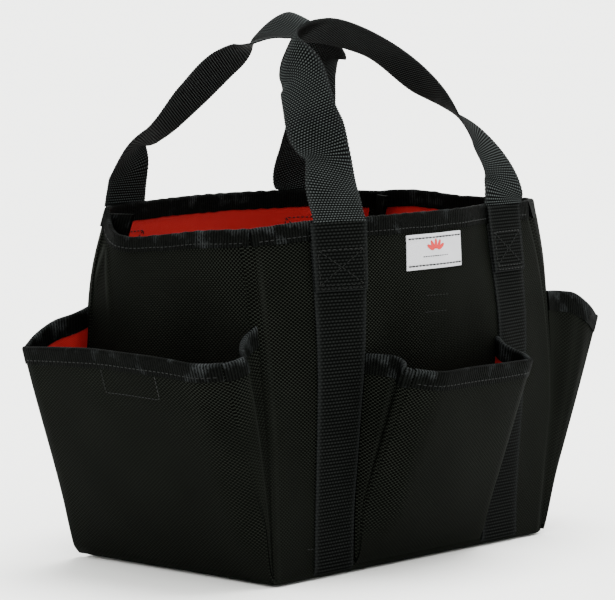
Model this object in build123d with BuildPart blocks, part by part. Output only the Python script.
from build123d import *
from math import cos, radians, sin
import os

# Garden tool bag: an open-topped bag of black woven nylon with a red lining, four flared outside
# pockets and two webbing handles. Millimetres. +Z is up, X runs along the bag's long side, and the
# front panel faces -Y. The origin is on the floor, under the middle of the bag.

# --- Driving dimensions ---------------------------------------------------------------------------
bag_length = 280.0          # outer face of the left end panel to that of the right
bag_depth = 178.0           # outer face of the front panel to that of the back
bag_height = 240.0          # floor to the top of the rim binding
shell_t = 1.2               # coated black nylon
lining_t = 0.8              # red nylon
tape_t = 0.8                # binding tape, one layer
tape_h = 12.5               # how far the folded tape reaches down each side of an edge
web_w = 38.1                # 1 1/2 inch webbing
web_t = 1.6
board_t = 3.0               # stiffening board in the bottom
strap_x = 88.0              # middle of each strap, left and right of the bag's middle
strap_top = 226.5           # the straps end below the rim binding
anchor_low = 190.0          # lower raw end of the handle webbing, sewn over the strap
anchor_top = 238.5          # the handle webbing bends freely above this height
hinge_h = 241.2             # height of the line about which a handle swings
handle_lean = 29.4          # the handles rest against each other, leaning in, in degrees
seam_w = 16.0               # bound seam allowance standing inside each upright corner
seam_t = 2.4
seam_round = 1.0            # rounding of its edges
seam_clear = 1.2            # it stands this far off the linings it is sewn between
seam_low_gap = 0.5          # and ends this far below the rim binding
rim_gap = 0.3               # between the rim bindings of two walls at a corner
strap_bend = 0.9 * web_t    # outer radius where a strap turns under the bottom
board_gap = 0.5             # between the edge of the board and the linings
board_round = 6.0           # rounding of the board's corners
pocket_gap = 1.5            # from the panel to the middle of a pocket face at its bottom seam
gusset_t = 1.2
gusset_gap = 0.4            # the gussets' clearance from the faces and the panels
gusset_rise = 1.0           # the gussets start this far up the face, above the bottom seam
gusset_inset = 2.5          # from the upright edge of a face to the middle of its gusset
gusset_drop = 2.0           # the gussets end this far below the mouth, under its binding

# Each pocket: half width at the bottom, half width of its mouth, length up the slope of its face,
# height of its bottom seam, height where its gussets meet the panel, and its flare in degrees.
end_pocket = dict(low=84.0, top=86.0, slope=162.0, seam=3.6, attach=173.0, flare=21.5)
side_pocket = dict(low=66.0, top=58.0, slope=141.0, seam=7.0, attach=148.0, flare=22.0)

patch_w, patch_h, patch_t = 50.0, 18.0, 1.2       # hook-and-loop closure of an end pocket
patch_x = 8.0                                     # the patches sit to one side of the middle
patch_top = 149.0                                 # upper edge of the patch, up the slope of the face
wall_patch_low = 127.0                            # lower edge of the mating patch on the end panel

label_w, label_h, label_t = 58.0, 26.0, 0.6
label_z = 212.0
tab_w, tab_h, tab_t = 30.0, 22.0, 1.6             # small tab sewn inside, behind the label
tab_z = 176.0

# --- Derived dimensions ---------------------------------------------------------------------------
half_l = bag_length / 2
half_d = bag_depth / 2
wall_t = shell_t + lining_t
floor_z = web_t             # the bag rests on the two straps that pass under it
board_z = floor_z + shell_t
lining_z = board_z + board_t

# Each wall is a plane on the outer face of its panel: x along the wall, y up, z outward.
walls = {
    "front": Plane(origin=(0, -half_d, 0), x_dir=(1, 0, 0), z_dir=(0, -1, 0)),
    "back": Plane(origin=(0, half_d, 0), x_dir=(-1, 0, 0), z_dir=(0, 1, 0)),
    "left": Plane(origin=(-half_l, 0, 0), x_dir=(0, -1, 0), z_dir=(-1, 0, 0)),
    "right": Plane(origin=(half_l, 0, 0), x_dir=(0, 1, 0), z_dir=(1, 0, 0)),
}

# The front and back panels span the bag, and the end panels fit between them.
panel_half = {"front": half_l, "back": half_l, "left": half_d - shell_t, "right": half_d - shell_t}
lining_half = {
    "front": half_l - shell_t,
    "back": half_l - shell_t,
    "left": half_d - wall_t,
    "right": half_d - wall_t,
}
rim_half = {
    "front": half_l - wall_t - rim_gap,
    "back": half_l - wall_t - rim_gap,
    "left": half_d - wall_t - tape_t - rim_gap,
    "right": half_d - wall_t - tape_t - rim_gap,
}

# The free loop of each handle, from its left end to its right end seen from outside the bag. Each
# point is: x, rise up the leaning plane of the loop, offset outward from that plane, and the turn of
# the webbing about its own length, in degrees. Turn 0 is flat against the bag.
front_loop = [
    (-88, 0, 0, 0),
    (-86, 14, 0, 2),
    (-76, 42, 3, 16),
    (-76, 67, 3, 52),
    (-67, 102, 1, 86),
    (-57, 123, -3, 108),
    (-28, 138, -4, 91),
    (20, 121, 1, 69),
    (56, 88, 2, 62),
    (76, 66, 2, 42),
    (90, 44, 2, 18),
    (89, 14, 0, 2),
    (88, 0, 0, 0),
]
back_loop = [
    (-88, 0, 0, 0),
    (-85, 14, 0, 2),
    (-75, 36, 3, 6),
    (-66, 62, 3, 12),
    (-54, 90, 2, 8),
    (-43, 112, 0, 36),
    (-16, 139, -3, 82),
    (29, 126, -1, 44),
    (47, 106, 4, 12),
    (78, 60, 7, 8),
    (89, 38, 4, 12),
    (89, 14, 0, 2),
    (88, 0, 0, 0),
]
sections_per_span = 2       # sections that shape the webbing between two points of a loop


os.makedirs("parts", exist_ok=True)


def save(piece, name):
    piece.part.label = name
    export_step(piece.part, f"parts/{name}.step")


def slab(plane, x_mid, half_width, y_low, y_high, z_low, z_high):
    """A flat rectangular piece lying in a wall's plane, from z_low to z_high along its normal."""
    with BuildPart() as piece:
        with BuildSketch(plane.offset(z_low)):
            with Locations((x_mid, (y_low + y_high) / 2)):
                Rectangle(2 * half_width, y_high - y_low)
        extrude(amount=z_high - z_low)
    return piece


def tape_channel(plane, half_width, y_top, z_inner, z_outer):
    """Binding tape folded over an edge that lies between z_inner and z_outer, open downward."""
    across = Plane(
        origin=plane.from_local_coords((-half_width, 0, 0)),
        x_dir=plane.z_dir,
        z_dir=-plane.x_dir,
    )
    with BuildPart() as piece:
        with BuildSketch(across):
            with BuildLine():
                Polyline(
                    (z_outer, y_top - tape_h),
                    (z_outer + tape_t, y_top - tape_h),
                    (z_outer + tape_t, y_top),
                    (z_inner - tape_t, y_top),
                    (z_inner - tape_t, y_top - tape_h),
                    (z_inner, y_top - tape_h),
                    (z_inner, y_top - tape_t),
                    (z_outer, y_top - tape_t),
                    close=True,
                )
            make_face()
        extrude(amount=-2 * half_width)
    return piece


# --- Bottom ---------------------------------------------------------------------------------------
with BuildPart() as bottom_panel:
    with BuildSketch(Plane.XY.offset(floor_z)):
        Rectangle(bag_length - 2 * shell_t, bag_depth - 2 * shell_t)
    extrude(amount=shell_t)
save(bottom_panel, "bottom_panel")

with BuildPart() as base_board:
    with BuildSketch(Plane.XY.offset(board_z)):
        RectangleRounded(
            bag_length - 2 * (wall_t + board_gap), bag_depth - 2 * (wall_t + board_gap), board_round
        )
    extrude(amount=board_t)
save(base_board, "base_board")

with BuildPart() as bottom_lining:
    with BuildSketch(Plane.XY.offset(lining_z)):
        Rectangle(bag_length - 2 * wall_t, bag_depth - 2 * wall_t)
    extrude(amount=lining_t)
save(bottom_lining, "bottom_lining")

# --- Walls ----------------------------------------------------------------------------------------
for side, wall in walls.items():
    name = side if side in ("front", "back") else f"{side}_end"
    under_tape = bag_height - tape_t
    panel = slab(wall, 0, panel_half[side], floor_z, under_tape, -shell_t, 0)
    save(panel, f"{name}_panel")
    lining = slab(wall, 0, lining_half[side], board_z, under_tape, -wall_t, -shell_t)
    save(lining, f"{name}_lining")
    binding = tape_channel(wall, rim_half[side], bag_height, -wall_t, 0)
    save(binding, f"{side}_rim_binding")

# --- Bound seam allowances, standing in at the four upright corners -------------------------------
for x_side, y_side in ((-1, -1), (1, -1), (1, 1), (-1, 1)):
    corner = Vector(x_side * (half_l - wall_t), y_side * (half_d - wall_t), 0)
    inward = Vector(-x_side, -y_side, 0).normalized()
    start = seam_t / 2 + seam_clear
    with BuildPart() as corner_seam:
        with BuildSketch(
            Plane(origin=corner + Vector(0, 0, lining_z + lining_t), x_dir=inward, z_dir=(0, 0, 1))
        ):
            with Locations((start + seam_w / 2, 0)):
                RectangleRounded(seam_w, seam_t, seam_round)
        extrude(amount=bag_height - tape_h - lining_z - lining_t - seam_low_gap)
    end = "left" if x_side < 0 else "right"
    face = "front" if y_side < 0 else "back"
    save(corner_seam, f"corner_seam_{face}_{end}")

# --- Straps: down the front, under the bottom and up the back -------------------------------------
for x_side, end in ((-1, "left"), (1, "right")):
    with BuildPart() as strap:
        with BuildSketch(Plane.YZ.offset(x_side * strap_x - web_w / 2)):
            with BuildLine():
                Polyline(
                    (-half_d - web_t, strap_top),
                    (-half_d - web_t, 0),
                    (half_d + web_t, 0),
                    (half_d + web_t, strap_top),
                    (half_d, strap_top),
                    (half_d, web_t),
                    (-half_d, web_t),
                    (-half_d, strap_top),
                    close=True,
                )
            make_face()
        extrude(amount=web_w)
        low_edges = strap.edges().filter_by(Axis.X).group_by(Axis.Z)[0]
        fillet(low_edges, strap_bend)
    save(strap, f"{end}_strap")

# --- Handle ends, box-stitched over the straps ----------------------------------------------------
for side in ("front", "back"):
    for x_side, end in ((-1, "left"), (1, "right")):
        local_x = x_side * strap_x if side == "front" else -x_side * strap_x
        anchor = slab(walls[side], local_x, web_w / 2, anchor_low, anchor_top, web_t, 2 * web_t)
        save(anchor, f"handle_anchor_{side}_{end}")

# --- Woven label, and the tab sewn inside ---------------------------------------------------------
label = slab(
    walls["front"], 0, label_w / 2, label_z - label_h / 2, label_z + label_h / 2, 0, label_t
)
save(label, "label")

inner_tab = slab(
    walls["front"], 0, tab_w / 2, tab_z - tab_h / 2, tab_z + tab_h / 2, -wall_t - tab_t, -wall_t
)
save(inner_tab, "inner_tab")


# --- Pockets --------------------------------------------------------------------------------------
def face_plane(wall, pocket):
    """The middle of a pocket face at rest: origin on its bottom seam, y up the slope, z outward."""
    flare = radians(pocket["flare"])
    outward = wall.z_dir * cos(flare) - wall.y_dir * sin(flare)
    seam = wall.from_local_coords((0, pocket["seam"], pocket_gap))
    return Plane(origin=seam, x_dir=wall.x_dir, z_dir=outward)


def pocket_sheet(plane, pocket, z_low, z_high):
    """One layer of a pocket face, tapering from its bottom seam to its mouth."""
    top = pocket["slope"] - tape_t
    with BuildPart() as piece:
        with BuildSketch(plane.offset(z_low)):
            with BuildLine():
                Polyline(
                    (-pocket["low"], 0),
                    (pocket["low"], 0),
                    (pocket["top"], top),
                    (-pocket["top"], top),
                    close=True,
                )
            make_face()
        extrude(amount=z_high - z_low)
    return piece


def gusset(wall, pocket, side_sign):
    """The folded cloth that joins one upright edge of a pocket face to the panel, shut in at rest."""
    flare = radians(pocket["flare"])
    inset = wall_t / 2 + tape_t + gusset_gap

    def on_face(up):
        out = pocket_gap + up * sin(flare) - inset * cos(flare)
        return out, pocket["seam"] + up * cos(flare) + inset * sin(flare)

    first = (inset * cos(flare) - pocket_gap + gusset_gap) / sin(flare) + gusset_rise
    side_x = side_sign * (pocket["top"] - gusset_inset)
    across = Plane(
        origin=wall.from_local_coords((side_x, 0, 0)), x_dir=wall.z_dir, z_dir=-wall.x_dir
    )
    with BuildPart() as piece:
        with BuildSketch(across.offset(-gusset_t / 2)):
            with BuildLine():
                Polyline(
                    (gusset_gap, on_face(first)[1]),
                    on_face(first),
                    on_face(pocket["slope"] - gusset_drop),
                    (gusset_gap, pocket["attach"]),
                    close=True,
                )
            make_face()
        extrude(amount=gusset_t)
    return piece


for side, wall in walls.items():
    pocket = side_pocket if side in ("front", "back") else end_pocket
    plane = face_plane(wall, pocket)
    middle = wall_t / 2
    split_z = middle - shell_t
    save(pocket_sheet(plane, pocket, split_z, middle), f"{side}_pocket_face")
    save(pocket_sheet(plane, pocket, -middle, split_z), f"{side}_pocket_lining")
    binding = tape_channel(plane, pocket["top"], pocket["slope"], -middle, middle)
    save(binding, f"{side}_pocket_binding")
    for sign, end in ((-1, "a"), (1, "b")):
        save(gusset(wall, pocket, sign), f"{side}_pocket_gusset_{end}")
    if pocket is end_pocket:
        hook = slab(
            plane, patch_x, patch_w / 2, patch_top - patch_h, patch_top, -middle - patch_t, -middle
        )
        save(hook, f"{side}_pocket_hook_patch")
        loop = slab(
            wall, patch_x, patch_w / 2, wall_patch_low, wall_patch_low + patch_h, 0, patch_t
        )
        save(loop, f"{side}_wall_loop_patch")


# --- Handles --------------------------------------------------------------------------------------
def handle(wall, loop):
    """The free webbing of one handle: a ribbon that turns on its side over the top of its loop."""
    lean = radians(handle_lean)
    up = wall.y_dir * cos(lean) - wall.z_dir * sin(lean)
    out = wall.z_dir * cos(lean) + wall.y_dir * sin(lean)
    layer_middle = 1.5 * web_t      # the handle webbing is the second layer, outside the strap
    foot = wall.from_local_coords((0, hinge_h, layer_middle))
    points = [foot + wall.x_dir * x + up * rise + out * offset for x, rise, offset, _ in loop]
    with BuildLine():
        middle_line = Spline(*points)
    ends = [middle_line.param_at_point(point) for point in points]
    with BuildPart() as piece:
        for step in range((len(loop) - 1) * sections_per_span + 1):
            first = min(step // sections_per_span, len(loop) - 2)
            share = step / sections_per_span - first
            place = ends[first] + share * (ends[first + 1] - ends[first])
            turn = radians(loop[first][3] + share * (loop[first + 1][3] - loop[first][3]))
            along = middle_line.tangent_at(place)
            flat = along.cross(out).normalized()
            across = flat * cos(turn) + flat.cross(along) * sin(turn)
            section = Plane(origin=middle_line.position_at(place), x_dir=across, z_dir=along)
            with BuildSketch(section):
                Rectangle(web_w, web_t)
        loft()
    return piece


save(handle(walls["front"], front_loop), "front_handle")
save(handle(walls["back"], back_loop), "back_handle")
